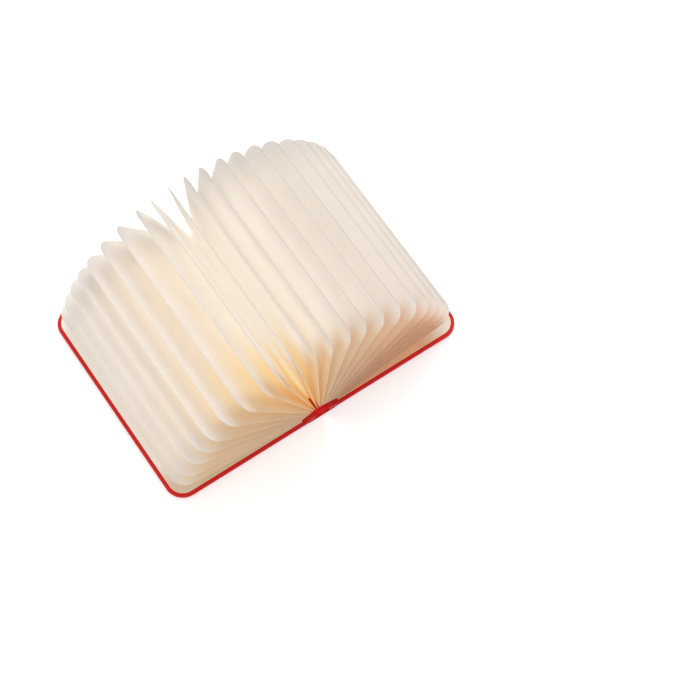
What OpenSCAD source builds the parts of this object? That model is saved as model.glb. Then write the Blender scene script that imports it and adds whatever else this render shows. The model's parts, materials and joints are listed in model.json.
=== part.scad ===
// Folding book lamp, lying open and flat. The spine runs along Y, the covers open along X,
// and Z points up. The origin is on the table, under the middle of the spine.

/* [Covers] */
// Length of the covers along the spine
cover_l = 150; // [140:1:200]
// Width of one cover, from its spine edge to its fore-edge
cover_w = 96.5; // [80:0.5:140]
// Radius of the covers' outer corners
cover_corner_r = 12; // [6:0.5:24]
// Thickness of the board inside a cover
board_t = 2; // [1.8:0.1:2.6]
// Thickness of the red cloth round the boards
cloth_t = 0.3; // [0.2:0.05:0.4]
// Thickness of the paper pasted inside a cover
pastedown_t = 0.3; // [0.2:0.05:0.6]
// Margin of red cloth left round the pastedown
pastedown_margin = 2.4; // [1:0.1:4]

/* [Spine] */
// Thickness of the grey strip round the spine
strip_t = 0.8; // [0.6:0.1:1.2]
// Distance from the covers' ends to the strip's ends
strip_inset = 0.5; // [0.2:0.1:3]
// Width of the strip's flap on each cover
flap_w = 27; // [15:0.5:45]
// Gap from a fold line to the edge of a cover board
board_gap = 0.8; // [0.8:0.1:3]
// Clearance between a fold's roll and the moving flap beside it
roll_gap = 0.05; // [0.02:0.01:0.1]
// Thickness of the stiff board inside the spine
spine_board_t = 1.2; // [1:0.1:1.6]
// Clearance between the spine board and the closed covers
spine_gap = 0.2; // [0.1:0.05:0.6]

/* [Pages] */
// Number of pages on each side of the middle page
pages_per_side = 10; // [10:1:10]
// Thickness of a page, two joined sheets
page_t = 0.35; // [0.2:0.05:0.4]
// Setback of the shut pages' fore-edges from the covers' fore-edges
page_setback = 0.3; // [0.2:0.1:6]
// Gap between the pages' ends and the covers' ends
page_inset = 2; // [1:0.1:8]
// Radius of the pages' outer corners
page_corner_r = 10.5; // [3:0.5:22]
// Radius of the pages' corners at the spine
page_root_r = 2; // [1:0.5:8]
// Spacing of the shut pages
shut_pitch = 0.64; // [0.6:0.01:0.7]
// Extra spacing of the lines about which the pages turn
turn_spread = 0.31; // [0.2:0.01:0.4]
// Height of the pages' turning lines above the table
turn_z = 2.2; // [1.8:0.1:2.6]
// Gap between the housing's top and the middle page
root_gap = 1; // [0.5:0.1:3]
// How much nearer to its turning line the outermost page starts
root_step = 1.5; // [0:0.1:1.8]
// Lean of the middle page towards the left cover, in degrees
lean_deg = 3; // [0:0.5:5]
// Mean angle between neighbouring pages, in degrees
page_step_deg = 8.05; // [7.6:0.05:8.2]
// How far each page stands from even spacing, in degrees, from the left cover's page on
page_uneven_deg = [0, 0, -0.5, 0, 1, 0, -1, -2.5, -1, -1, 0,
    1, 1, 2, 1.5, 1, -0.5, -0.5, 0, 0, 0]; // [-3:0.5:3]

/* [Folds between the pages] */
// Thickness of the folded sheet between two pages
fold_t = 0.2; // [0.15:0.05:0.3]
// Distance from the turning lines to where a fold is glued to its pages
fold_top = 22; // [18:0.5:40]
// Distance from the turning lines to the bottom of the folds
fold_bottom = 8.5; // [8:0.5:12]
// Distance from the pages' tail ends to the folds' tail ends
fold_tail_inset = 10; // [6:0.5:25]
// Distance from the pages' head ends to the folds' head ends
fold_head_inset = 0.5; // [0.5:0.5:25]
// Gap between a fold's sheet and the page it is glued to
fold_gap = 0.05; // [0.02:0.01:0.1]

/* [Light] */
// Outside radius of the arched light housing
arch_r = 5.4; // [5.2:0.1:6]
// Wall of the arched light housing
arch_wall = 0.8; // [0.5:0.1:0.8]
// Length of each end cap
cap_l = 16; // [16:0.5:24]
// Clearance between a cap and the diffuser's end
cap_gap = 0.1; // [0.05:0.05:0.3]
// Length of the caps' plug inside the diffuser
plug_l = 2; // [1:0.5:2.5]
// Clearance of the caps' plug in the diffuser
plug_gap = 0.08; // [0.05:0.01:0.1]
// Wall of the caps' plug
plug_wall = 0.5; // [0.4:0.05:0.7]
// Distance from the covers' ends to the caps
cap_inset = 1; // [0.5:0.1:3]
// Thickness of a cap's end wall
cap_end_wall = 1.2; // [0.8:0.1:1.6]
// Width of the carrier and the light strip
carrier_w = 5.6; // [4.6:0.1:5.6]
// Thickness of the carrier's floor
carrier_floor = 0.4; // [0.3:0.1:0.5]
// Length of the carrier's posts
post_l = 2; // [1:0.5:4]
// Clearance between the carrier's ends and the caps' plugs
carrier_gap = 2.5; // [1:0.5:6]
// Height of the battery cells
cell_h = 2.4; // [1.8:0.1:2.4]
// Width of the battery cells
cell_w = 5.2; // [3:0.1:5.4]
// Clearance between a battery cell and what is above and beside it
cell_gap = 0.1; // [0.05:0.05:0.2]
// Thickness of the light strip
light_board_t = 0.6; // [0.4:0.1:0.6]
// Number of light-emitting chips
chip_count = 12; // [6:1:16]
// Side of a light-emitting chip
chip_side = 1.6; // [1:0.1:2]
// Height of a light-emitting chip
chip_h = 0.5; // [0.3:0.1:0.5]
// Distance from the end chips to the light strip's ends
chip_inset = 4; // [2:0.5:8]

/* [Electronics] */
// Width of the control board
control_w = 7.2; // [5.4:0.1:7.4]
// Thickness of the control board
control_t = 0.6; // [0.4:0.1:0.7]
// Width of the charging socket
socket_w = 7; // [6:0.1:7.2]
// Height of the charging socket
socket_h = 2.4; // [1.8:0.1:2.5]
// Depth of the charging socket
socket_d = 5; // [4:0.1:6]
// Wall of the charging socket
socket_wall = 0.3; // [0.2:0.05:0.4]
// Clearance round the charging socket
socket_gap = 0.1; // [0.05:0.05:0.15]
// Radius of the charge indicator
indicator_r = 0.6; // [0.4:0.1:0.7]
// Length of the charge indicator
indicator_l = 3; // [2:0.5:4]
// Side of the opening sensor
sensor_side = 1.6; // [1:0.1:2]
// Height of the opening sensor
sensor_h = 0.8; // [0.5:0.1:0.9]
// Radius of the power leads
lead_r = 0.25; // [0.2:0.05:0.3]
// Spacing of the power leads
lead_pitch = 2.4; // [1.5:0.1:4]

/* [Magnets and screws] */
// Radius of the cover magnets
magnet_r = 5; // [3:0.5:8]
// Thickness of the cover magnets
magnet_t = 1.2; // [0.8:0.1:1.4]
// Clearance round a magnet in its pocket
magnet_gap = 0.1; // [0.05:0.05:0.3]
// Distance from a magnet's middle to the cover's edges
magnet_edge = 14; // [11:0.5:25]
// Radius of the sensor's magnet
trigger_r = 1.5; // [1:0.1:2]
// Distance from the sensor's magnet to the cover's spine edge
trigger_x = 3.5; // [3:0.1:6]
// Radius of the screws' shanks
screw_r = 0.6; // [0.5:0.05:0.7]
// Radius of the screws' heads
screw_head_r = 1.1; // [0.9:0.05:1.3]
// Height of the screws' heads
screw_head_h = 0.4; // [0.3:0.05:0.5]
// Clearance round a screw in the spine board
screw_gap = 0.05; // [0.03:0.01:0.1]
// Wall of the bosses that take the screws
boss_wall = 0.7; // [0.5:0.05:0.9]
// Height of the bosses that take the screws
boss_h = 0.9; // [0.7:0.1:1]
// Distance from a screw to the inner end of its cap
screw_inset = 2.6; // [2.5:0.1:4]

/* [Hidden] */
$fn = 48;
fold_z = strip_t / 2;
cloth_z = strip_t;
board_z = cloth_z + cloth_t;
pastedown_z = board_z + board_t;
cover_top = pastedown_z + pastedown_t;
page_stack = pages_per_side * shut_pitch + page_t / 2;
shut_gap = 0.725;
shut_x = page_stack + shut_gap;
fold_x = shut_x + cover_top - fold_z;
cover_x = fold_x + board_gap;
fore_x = cover_x + cover_w;
spine_x = fold_x - fold_z;
spine_board_x = shut_x - spine_gap;
spine_floor = board_z + spine_board_t;
inner_r = arch_r - arch_wall;
cap_out = cover_l / 2 - cap_inset;
cap_in = cap_out - cap_l;
diffuser_y = cap_in - cap_gap;
plug_r = inner_r - plug_gap;
carrier_y = diffuser_y - plug_l - carrier_gap;
cell_y = post_l / 2 + cell_gap;
cell_l = carrier_y - post_l - cell_gap - cell_y;
cell_z = spine_floor + carrier_floor;
light_board_z = cell_z + cell_h + cell_gap;
chip_z = light_board_z + light_board_t;
chip_pitch = 2 * (carrier_y - chip_inset) / (chip_count - 1);
turn_pitch = shut_pitch + turn_spread;
root_mid = spine_floor + arch_r + root_gap - turn_z;
page_w = fold_z + cover_w + board_gap - page_setback - turn_z;
page_l = cover_l - 2 * page_inset;
fold_l = page_l - fold_tail_inset - fold_head_inset;
strip_l = cover_l - 2 * strip_inset;
board_end = cap_out - cap_end_wall;
screw_y = cap_in + screw_inset;
control_z = spine_floor + boss_h;
control_y = cap_in + 1;
socket_y = cap_out - socket_d;
socket_z = spine_floor + 0.2;
indicator_z = spine_floor + (socket_h + 0.2 + inner_r) / 2;
screw_top = control_z - 0.1;
bore_fn = 32;
RED = [0.76, 0.1, 0.09];
GREY = [0.42, 0.42, 0.43];
PAPER = [0.94, 0.91, 0.86];
CARD = [0.62, 0.55, 0.45];
STEEL = [0.75, 0.76, 0.78];
GREEN = [0.1, 0.4, 0.2];

// Angle of page j from the middle: 90 stands up, 180 lies on the left and 0 on the right.
function page_deg(side, j) = 90 + lean_deg - side * page_step_deg * j
    + page_uneven_deg[pages_per_side + side * j];
// Direction along a page, away from the spine.
function along(side, j) = [cos(page_deg(side, j)), sin(page_deg(side, j))];
// Direction square to a page, on the side that faces the middle page.
function inward(side, j) = side * [-sin(page_deg(side, j)), cos(page_deg(side, j))];
function page_lift(j) = j * turn_spread;
function page_root(j) = root_mid - root_step * j / pages_per_side;

// Point at distance s along page j, and at distance off from its middle plane. Past the
// last page it is the cover.
function page_point(side, j, s, off) = [side * turn_pitch * j, turn_z]
    + (page_lift(j) + off) * inward(side, j) + s * along(side, j);
function cover_point(side, s, off) = [side * (fold_x + s), cover_top + off];
function outer_face(side, j, s, off) = page_point(side, j, s, -page_t / 2 - fold_gap - off);
function inner_face(side, j, s, off) = j > pages_per_side
    ? cover_point(side, s, fold_gap + off)
    : page_point(side, j, s, page_t / 2 + fold_gap + off);
// Point halfway between page j and the next one out.
function halfway(side, j, s) = (outer_face(side, j, s, 0) + inner_face(side, j + 1, s, 0)) / 2;
function half_open(side, j) = norm(outer_face(side, j, fold_top, 0)
    - inner_face(side, j + 1, fold_top, 0)) / 2;
// How far the inside of a fold's bottom lies above its outside.
function fold_tip(side, j) = fold_t * norm([half_open(side, j), fold_top - fold_bottom])
    / half_open(side, j);

// What is cut off a corner at x, y to leave it round. The corner points along dx, dy.
module corner_waste(x, y, r, dx, dy) {
    difference() {
        translate([dx > 0 ? x - r : x - 1, dy > 0 ? y - r : y - 1]) square([r + 1, r + 1]);
        translate([x - dx * r, y - dy * r]) circle(r);
    }
}

// A flat sheet from x = near to x = far, with round corners at the far edge.
module cover_shape(near, far, l, r) {
    difference() {
        translate([near, -l / 2]) square([far - near, l]);
        corner_waste(far, l / 2, r, 1, 1);
        corner_waste(far, -l / 2, r, 1, -1);
    }
}

// The same with round corners at the near edge too.
module page_shape(near, far, l, far_r, near_r) {
    difference() {
        cover_shape(near, far, l, far_r);
        corner_waste(near, l / 2, near_r, -1, 1);
        corner_waste(near, -l / 2, near_r, -1, -1);
    }
}

module on_side(side) {
    if (side < 0) mirror([1, 0, 0]) children();
    else children();
}

// A plate in the shape of a cover, with its edges set in by the margin.
module cover_plate(z, t, margin) {
    translate([0, 0, z]) linear_extrude(t)
        cover_shape(cover_x + margin, fore_x - margin, cover_l - 2 * margin,
            cover_corner_r - margin);
}

module magnet_places() {
    for (s = [-1, 1])
        translate([fore_x - magnet_edge, s * (cover_l / 2 - magnet_edge), pastedown_z - magnet_t])
            children();
}

module trigger_place() {
    translate([cover_x + trigger_x, screw_y + 3.4, pastedown_z - magnet_t]) children();
}

module cover_board() {
    difference() {
        cover_plate(board_z, board_t, cloth_t);
        magnet_places() cylinder(r = magnet_r + magnet_gap, h = magnet_t + 1);
    }
}

// The red cloth under a board, up round its edges and in over its rim.
module cover_cloth() {
    difference() {
        cover_plate(cloth_z, cover_top - cloth_z, 0);
        cover_plate(board_z, board_t, cloth_t);
        cover_plate(pastedown_z, pastedown_t + 1, pastedown_margin);
    }
}

module cover_magnets() {
    magnet_places() cylinder(r = magnet_r, h = magnet_t);
}

module strip_flap() {
    translate([spine_x + strip_t + roll_gap, -strip_l / 2, 0]) cube([flap_w, strip_l, strip_t]);
}

module left_strip_flap() color(GREY) on_side(-1) strip_flap();
module right_strip_flap() color(GREY) strip_flap();
module left_cloth() color(RED) on_side(-1) cover_cloth();
module right_cloth() color(RED) cover_cloth();
module left_pastedown() color(PAPER) on_side(-1)
    cover_plate(pastedown_z, pastedown_t, pastedown_margin);
module right_pastedown() color(PAPER) cover_plate(pastedown_z, pastedown_t, pastedown_margin);
module left_magnets() color(STEEL) on_side(-1) cover_magnets();
module right_magnets() color(STEEL) cover_magnets();
module right_board() color(CARD) cover_board();

// The left board has one more pocket, for the magnet that the opening sensor feels.
module left_board() {
    color(CARD) on_side(-1) difference() {
        cover_board();
        trigger_place() cylinder(r = trigger_r + magnet_gap, h = magnet_t + 1, $fn = bore_fn);
    }
}

module sensor_magnet() {
    color(STEEL) on_side(-1) trigger_place() cylinder(r = trigger_r, h = magnet_t, $fn = bore_fn);
}

// The grey strip under the spine, with a round fold along each of its long edges.
module spine_strip() {
    color(GREY) {
        translate([-fold_x, -strip_l / 2, 0]) cube([2 * fold_x, strip_l, strip_t]);
        for (s = [-1, 1]) translate([s * fold_x, strip_l / 2, fold_z]) rotate([90, 0, 0])
            cylinder(r = fold_z, h = strip_l, $fn = bore_fn);
    }
}

module spine_cloth() {
    color(RED) translate([roll_gap - spine_x, -cover_l / 2, cloth_z])
        cube([2 * (spine_x - roll_gap), cover_l, cloth_t]);
}

module screw_places() {
    for (s = [-1, 1]) translate([0, s * screw_y, 0]) children();
}

module spine_board() {
    color(CARD) difference() {
        translate([-spine_board_x, -board_end, board_z])
            cube([2 * spine_board_x, 2 * board_end, spine_board_t]);
        screw_places() {
            translate([0, 0, board_z - 1])
                cylinder(r = screw_r + screw_gap, h = spine_board_t + 2, $fn = bore_fn);
            translate([0, 0, board_z - 1])
                cylinder(r = screw_head_r + screw_gap, h = screw_head_h + 1, $fn = bore_fn);
        }
    }
}

module cap_screws() {
    color(STEEL) screw_places() translate([0, 0, board_z]) {
        cylinder(r = screw_head_r, h = screw_head_h, $fn = bore_fn);
        cylinder(r = screw_r, h = screw_top - board_z, $fn = bore_fn);
    }
}

// Floor and posts that hold the cells and carry the light strip.
module light_carrier() {
    color("white") {
        translate([-carrier_w / 2, -carrier_y, spine_floor])
            cube([carrier_w, 2 * carrier_y, carrier_floor]);
        for (y = [-carrier_y, -post_l / 2, carrier_y - post_l])
            translate([-carrier_w / 2, y, spine_floor])
                cube([carrier_w, post_l, light_board_z - spine_floor]);
    }
}

module battery_cells() {
    color("silver") for (y = [-cell_y - cell_l, cell_y])
        translate([-cell_w / 2, y, cell_z]) cube([cell_w, cell_l, cell_h]);
}

module light_strip() {
    color("white") translate([-carrier_w / 2, -carrier_y, light_board_z])
        cube([carrier_w, 2 * carrier_y, light_board_t]);
}

module light_chips() {
    color("gold") for (i = [0:chip_count - 1])
        translate([-chip_side / 2, (i - (chip_count - 1) / 2) * chip_pitch - chip_side / 2, chip_z])
            cube([chip_side, chip_side, chip_h]);
}

// A solid arch of radius r that stands on the spine board, from y0 to y1.
module arch(r, y0, y1) {
    translate([0, y1, spine_floor]) rotate([90, 0, 0]) intersection() {
        cylinder(r = r, h = y1 - y0);
        translate([-r - 1, 0, -1]) cube([2 * r + 2, r + 1, y1 - y0 + 2]);
    }
}

// The same, but it also cuts through what is below it.
module arch_bore(r, y0, y1) {
    translate([0, y1, spine_floor]) rotate([90, 0, 0]) cylinder(r = r, h = y1 - y0);
}

module diffuser() {
    color(PAPER) difference() {
        arch(arch_r, -diffuser_y, diffuser_y);
        arch_bore(inner_r, -diffuser_y - 1, diffuser_y + 1);
    }
}

// A cap over the head end of the spine, with a hollow plug that fits in the diffuser and a
// lip in front of the spine board's end.
module cap_body() {
    translate([-spine_board_x, board_end, board_z])
        cube([2 * spine_board_x, cap_end_wall, spine_board_t]);
    difference() {
        union() {
            arch(arch_r, cap_in, cap_out);
            arch(plug_r, diffuser_y - plug_l, cap_in + 1);
        }
        arch_bore(plug_r - plug_wall, diffuser_y - plug_l - 1, cap_in + 2);
        arch_bore(inner_r, cap_in + 1, cap_out - cap_end_wall);
    }
}

// The boss that takes a cap's screw, with a foot out to the cap's side walls.
module cap_boss() {
    difference() {
        union() {
            translate([0, screw_y, spine_floor])
                cylinder(r = screw_r + boss_wall, h = boss_h, $fn = bore_fn);
            translate([-inner_r - 0.2, screw_y - 0.6, spine_floor])
                cube([2 * inner_r + 0.4, 1.2, boss_h]);
        }
        translate([0, screw_y, spine_floor - 1])
            cylinder(r = screw_r, h = boss_h + 2, $fn = bore_fn);
    }
}

module tail_cap() {
    color(RED) mirror([0, 1, 0]) {
        cap_body();
        cap_boss();
    }
}

module head_cap() {
    color(RED) {
        difference() {
            cap_body();
            translate([-socket_w / 2 - socket_gap, cap_out - cap_end_wall - 1,
                socket_z - socket_gap])
                cube([socket_w + 2 * socket_gap, cap_end_wall + 2, socket_h + 2 * socket_gap]);
            translate([0, cap_out + 1, indicator_z]) rotate([90, 0, 0])
                cylinder(r = indicator_r, h = cap_end_wall + 2, $fn = bore_fn);
        }
        cap_boss();
    }
}

module control_board() {
    color(GREEN) translate([-control_w / 2, control_y, control_z])
        cube([control_w, socket_y - control_y, control_t]);
}

// The socket, with its tongue, open at the spine's head end.
module charge_socket() {
    color(STEEL) translate([0, socket_y, socket_z]) {
        difference() {
            translate([-socket_w / 2, 0, 0]) cube([socket_w, socket_d, socket_h]);
            translate([-socket_w / 2 + socket_wall, socket_wall, socket_wall])
                cube([socket_w - 2 * socket_wall, socket_d, socket_h - 2 * socket_wall]);
        }
        translate([-socket_w / 2 + 1, 0.1, socket_h / 2 - 0.25]) cube([socket_w - 2, socket_d - 1, 0.5]);
    }
}

module charge_indicator() {
    color("white") translate([0, cap_out, indicator_z]) rotate([90, 0, 0])
        cylinder(r = indicator_r, h = indicator_l, $fn = bore_fn);
}

module opening_sensor() {
    color([0.1, 0.1, 0.1]) translate([0.6 - control_w / 2, control_y + 3, control_z + control_t])
        cube([sensor_side, sensor_side, sensor_h]);
}

module power_leads() {
    color([0.2, 0.2, 0.2]) for (s = [-1, 1])
        translate([s * lead_pitch / 2, control_y, control_z + control_t / 2])
            rotate([90, 0, 0]) cylinder(r = lead_r, h = control_y - carrier_y, $fn = bore_fn);
}

// The V-shaped sheet between page j and the next one out.
module fold_between(side, j) {
    translate([0, page_l / 2 - fold_head_inset, 0]) rotate([90, 0, 0]) linear_extrude(fold_l) polygon([
        outer_face(side, j, fold_top, 0),
        halfway(side, j, fold_bottom),
        inner_face(side, j + 1, fold_top, 0),
        inner_face(side, j + 1, fold_top, fold_t),
        halfway(side, j, fold_bottom + fold_tip(side, j)),
        outer_face(side, j, fold_top, fold_t)]);
}

module left_folds() color(PAPER) for (j = [0:pages_per_side]) fold_between(-1, j);
module right_folds() color(PAPER) for (j = [0:pages_per_side]) fold_between(1, j);

// Page n, counted from the left cover.
module page(n) {
    j = abs(n - pages_per_side - 1);
    side = n > pages_per_side ? 1 : -1;
    color(PAPER) translate([side * turn_pitch * j, 0, turn_z]) rotate([0, -page_deg(side, j), 0])
        translate([0, 0, side * page_lift(j) - page_t / 2]) linear_extrude(page_t)
            page_shape(page_root(j), page_w, page_l, page_corner_r, page_root_r);
}

module page_01() page(1);
module page_02() page(2);
module page_03() page(3);
module page_04() page(4);
module page_05() page(5);
module page_06() page(6);
module page_07() page(7);
module page_08() page(8);
module page_09() page(9);
module page_10() page(10);
module page_11() page(11);
module page_12() page(12);
module page_13() page(13);
module page_14() page(14);
module page_15() page(15);
module page_16() page(16);
module page_17() page(17);
module page_18() page(18);
module page_19() page(19);
module page_20() page(20);
module page_21() page(21);

spine_strip();
spine_cloth();
spine_board();
light_carrier();
battery_cells();
light_strip();
light_chips();
diffuser();
tail_cap();
head_cap();
control_board();
charge_socket();
charge_indicator();
opening_sensor();
power_leads();
cap_screws();
left_strip_flap();
left_cloth();
left_board();
left_pastedown();
left_magnets();
sensor_magnet();
right_strip_flap();
right_cloth();
right_board();
right_pastedown();
right_magnets();
left_folds();
right_folds();
page_01();
page_02();
page_03();
page_04();
page_05();
page_06();
page_07();
page_08();
page_09();
page_10();
page_11();
page_12();
page_13();
page_14();
page_15();
page_16();
page_17();
page_18();
page_19();
page_20();
page_21();
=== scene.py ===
"""Folding book lamp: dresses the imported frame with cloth, paper, light and small parts.

Run it as a script. Each piece has its own operator, and the sidebar panel lists them.
"""

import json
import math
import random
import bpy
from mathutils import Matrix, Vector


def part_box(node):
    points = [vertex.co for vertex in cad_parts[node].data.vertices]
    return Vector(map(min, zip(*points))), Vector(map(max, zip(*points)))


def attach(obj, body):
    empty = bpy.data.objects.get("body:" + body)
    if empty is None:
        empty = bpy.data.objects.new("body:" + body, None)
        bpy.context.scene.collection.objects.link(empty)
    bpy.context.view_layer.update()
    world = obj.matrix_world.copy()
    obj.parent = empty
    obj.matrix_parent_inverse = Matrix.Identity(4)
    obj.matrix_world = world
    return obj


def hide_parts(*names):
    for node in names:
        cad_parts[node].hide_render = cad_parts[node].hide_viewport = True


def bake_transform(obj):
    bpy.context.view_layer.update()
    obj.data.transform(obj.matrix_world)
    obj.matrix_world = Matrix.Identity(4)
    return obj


bl_info = {
    "name": "Folding book lamp",
    "version": (1, 0, 0),
    "blender": (4, 5, 0),
    "location": "View3D > Sidebar > Book lamp",
    "description": "Builds the looks of a folding book lamp on its packed frame",
    "category": "Add Mesh",
}

import bpy
from mathutils import Matrix, Vector

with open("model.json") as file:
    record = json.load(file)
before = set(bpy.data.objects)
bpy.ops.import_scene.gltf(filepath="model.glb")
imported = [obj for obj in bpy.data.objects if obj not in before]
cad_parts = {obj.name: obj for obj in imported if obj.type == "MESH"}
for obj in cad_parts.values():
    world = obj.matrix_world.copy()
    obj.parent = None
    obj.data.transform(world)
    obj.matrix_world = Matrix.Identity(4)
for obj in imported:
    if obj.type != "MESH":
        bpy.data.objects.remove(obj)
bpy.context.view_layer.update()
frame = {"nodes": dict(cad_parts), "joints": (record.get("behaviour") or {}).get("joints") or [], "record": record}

MM = 0.001
SAME = 1e-6  # points nearer than this are in the same place
WHITE = (1.0, 1.0, 1.0)
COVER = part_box("right_cloth")
HINGES = {j["name"]: j for j in frame["joints"]}
RATIOS = {c["joint"]: c["ratio"] for c in frame["record"]["behaviour"]["couplings"]}

# Pages are numbered from the left cover to the right one.
PAGES = 21
MIDDLE = 11
PAGE_SEED = 400
BRIGHT = 9  # stands in the brightest light
# The hot glow is painted warm lamp light in the paper's colour; each page takes this share of it.
HOT_PAGES = {8: 0.35, BRIGHT: 1.0, 11: 0.7}  # share of the hot tint on each

# In millimetres. PAGE_ROOT is from the middle page's turning line to its root. For each
# step out from the middle, a page stands PAGE_LIFT further off its turning line and its
# root starts ROOT_LESS nearer to it.
PAGE_ROOT = 6.5
PAGE_LIFT = 0.31
ROOT_LESS = 0.15

# Parts of a page's mesh: round its root corners, across its flat part, round its outer
# corners, and along half its length.
ROOT_PARTS, FLAT_PARTS, CORNER_PARTS, HALF_PARTS = 7, 16, 8, 15

# In metres, from a page's turning line to its folds' top and bottom lines.
FOLD_TOP = 0.022
FOLD_BOTTOM = 0.0085
FOLD_POINT = 0.0012  # height of the turned part at the bottom of a fold
FOLD_SKIN = 0.00028  # from a page's middle to the sheet that lies on it
COVER_SKIN = 0.0001  # from a cover's inside to the sheet that lies on it
FOLD_SHEET = 0.00018  # thickness
FOLD_PARTS = 6  # of its mesh, down each side
FOLD_ROWS = 25

# Outline of the right hinge cloth, across the spine and up, in millimetres.
HINGE_CLOTH = (
    (5.5, 1.3), (5.5, 2.6), (5.4, 3.37), (5.2, 4.12), (5.0, 4.62), (4.8, 5.0),
    (5.3, 5.14), (6.2, 5.1), (7.2, 4.94), (8.2, 4.64), (9.2, 4.3), (10.0, 4.05),
    (10.8, 3.9), (11.6, 3.78), (12.2, 3.68), (12.4, 3.5), (11.6, 3.46), (10.9, 3.4),
    (10.6, 2.6), (10.3, 1.7), (9.7, 1.3), (7.6, 1.25))
HINGE_CLOTH_HALF = 0.0746
HINGE_CLOTH_ROWS = 37

LINING_BED = 0.0003  # how far the lining lies below the turned-in cloth

FLOOR_SIZE = 12
FLOOR_Z = -0.0002
FLOOR_GLOW = 0.36
SKY = 0.7  # strength for the light on things
SEEN_SKY = 1.0  # strength where the sky itself is seen

# Name, place, width and power of each lamp of the studio.
LAMPS = (
    ("key", (0.55, 0.75, 1.25), 1.1, 10.0),
    ("fill", (-0.9, -0.5, 0.9), 1.2, 3.5))
LAMP_TARGET = (0.0, 0.0, 0.03)
CAMERA_LENS = 100.81
CAMERA_PLACE = (
    (0.825219, 0.506986, -0.248955, -0.27106),
    (-0.563827, 0.765467, -0.310096, -0.43471),
    (0.033352, 0.396265, 0.917530, 1.14542),
    (0.0, 0.0, 0.0, 1.0))


# Sizes and colours that a user would change


class BookLampPaper(bpy.types.PropertyGroup):
    """Pages and the folds between them."""

    reach: bpy.props.FloatProperty(
        name="Page reach", description="Distance from a page's turning line to its ridge",
        default=0.0952, unit="LENGTH")
    length: bpy.props.FloatProperty(
        name="Page length", description="Length of a page along the spine",
        default=0.146, unit="LENGTH")
    corner: bpy.props.FloatProperty(
        name="Outer corner", description="Radius of the pages' outer corners",
        default=0.0105, unit="LENGTH")
    root_corner: bpy.props.FloatProperty(
        name="Root corner", description="Radius of the pages' corners at the spine",
        default=0.003, unit="LENGTH")
    rim: bpy.props.FloatProperty(
        name="Rim thickness", description="Thickness of a page where its two sheets are joined",
        default=0.00032, unit="LENGTH")
    body: bpy.props.FloatProperty(
        name="Body thickness", description="Thickness of a page inside its joined rim",
        default=0.0005, unit="LENGTH")
    wave: bpy.props.FloatProperty(
        name="Waviness", description="How far the paper wanders from flat",
        default=0.00022, unit="LENGTH")
    tail_gap: bpy.props.FloatProperty(
        name="Folds' tail gap", description="Distance from a page's tail edge to its folds",
        default=0.0088, unit="LENGTH")
    head_gap: bpy.props.FloatProperty(
        name="Folds' head gap", description="Distance from a page's head edge to its folds",
        default=0.0005, unit="LENGTH")
    colour: bpy.props.FloatVectorProperty(
        name="Paper", description="Colour of the paper", subtype="COLOR", size=3,
        min=0.0, max=1.0, default=(0.84, 0.79, 0.745))
    ridge_light: bpy.props.FloatVectorProperty(
        name="Light at the ridges", description="Lamp light that shows near a page's ridge",
        subtype="COLOR", size=3, min=0.0, max=1.0, default=(0.06, 0.05, 0.033))
    deep_light: bpy.props.FloatVectorProperty(
        name="Light between the pages", description="Lamp light that shows deep between pages",
        subtype="COLOR", size=3, min=0.0, max=1.0, default=(0.235, 0.23, 0.205))
    tail_light: bpy.props.FloatVectorProperty(
        name="Light near the tail", description="Lamp light that shows deep near the tail",
        subtype="COLOR", size=3, min=0.0, max=1.0, default=(0.24, 0.17, 0.06))
    left_light: bpy.props.FloatVectorProperty(
        name="Light between left pages", description="Lamp light deep between the left pages",
        subtype="COLOR", size=3, min=0.0, max=1.0, default=(0.225, 0.197, 0.15))
    edge_light: bpy.props.FloatVectorProperty(
        name="Light at the tail edges", description="Lamp light in the pages' tail edges",
        subtype="COLOR", size=3, min=0.0, max=1.0, default=(0.21, 0.115, 0.035))
    # Painted warm lamp light and shade in the paper's colour at the pages' tail edges.
    edge_glow_shade: bpy.props.FloatVectorProperty(
        name="Tail edge tint", description="Tint of the paper at the pages' tail edges",
        subtype="COLOR", size=3, min=0.0, max=1.0, default=(0.94, 0.83, 0.68))
    # Painted shade, a little warm, in the paper's colour at the pages' tail corners.
    corner_shade: bpy.props.FloatVectorProperty(
        name="Tail corner tint", description="Tint of the paper at the pages' tail corners",
        subtype="COLOR", size=3, min=0.0, max=1.0, default=(0.93, 0.89, 0.84))
    # Painted warm lamp light in the paper's colour near the brightest light.
    hot_glow: bpy.props.FloatVectorProperty(
        name="Hot tint", description="Tint of the paper near the brightest light",
        subtype="COLOR", size=3, min=0.0, max=1.0, default=(1.0, 0.87, 0.64))
    # Painted warm lamp light and shade in the left lining's colour near the tail.
    left_lining_glow_shade: bpy.props.FloatVectorProperty(
        name="Left lining tint", description="Tint of the left lining near the tail",
        subtype="COLOR", size=3, min=0.0, max=1.0, default=(0.80, 0.69, 0.55))
    # Painted warm lamp light and shade in the right lining's colour near the tail.
    right_lining_glow_shade: bpy.props.FloatVectorProperty(
        name="Right lining tint", description="Tint of the right lining near the tail",
        subtype="COLOR", size=3, min=0.0, max=1.0, default=(0.84, 0.52, 0.34))
    # Painted grey shade at the right lining's outer tail corner, in place of the warm glow there.
    lining_corner_shade: bpy.props.FloatVectorProperty(
        name="Lining corner tint", description="Tint of the right lining's outer tail corner",
        subtype="COLOR", size=3, min=0.0, max=1.0, default=(0.82, 0.78, 0.74))
    lining_light: bpy.props.FloatVectorProperty(
        name="Light on the linings", description="Lamp light that the linings show",
        subtype="COLOR", size=3, min=0.0, max=1.0, default=(0.12, 0.1, 0.07))
    # Painted warm lamp light and shade in the paper's colour at the right pages' tail edges.
    outer_glow_shade: bpy.props.FloatVectorProperty(
        name="Outer edge tint", description="Tint of the tail edges of the right pages",
        subtype="COLOR", size=3, min=0.0, max=1.0, default=(0.94, 0.61, 0.42))


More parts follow.
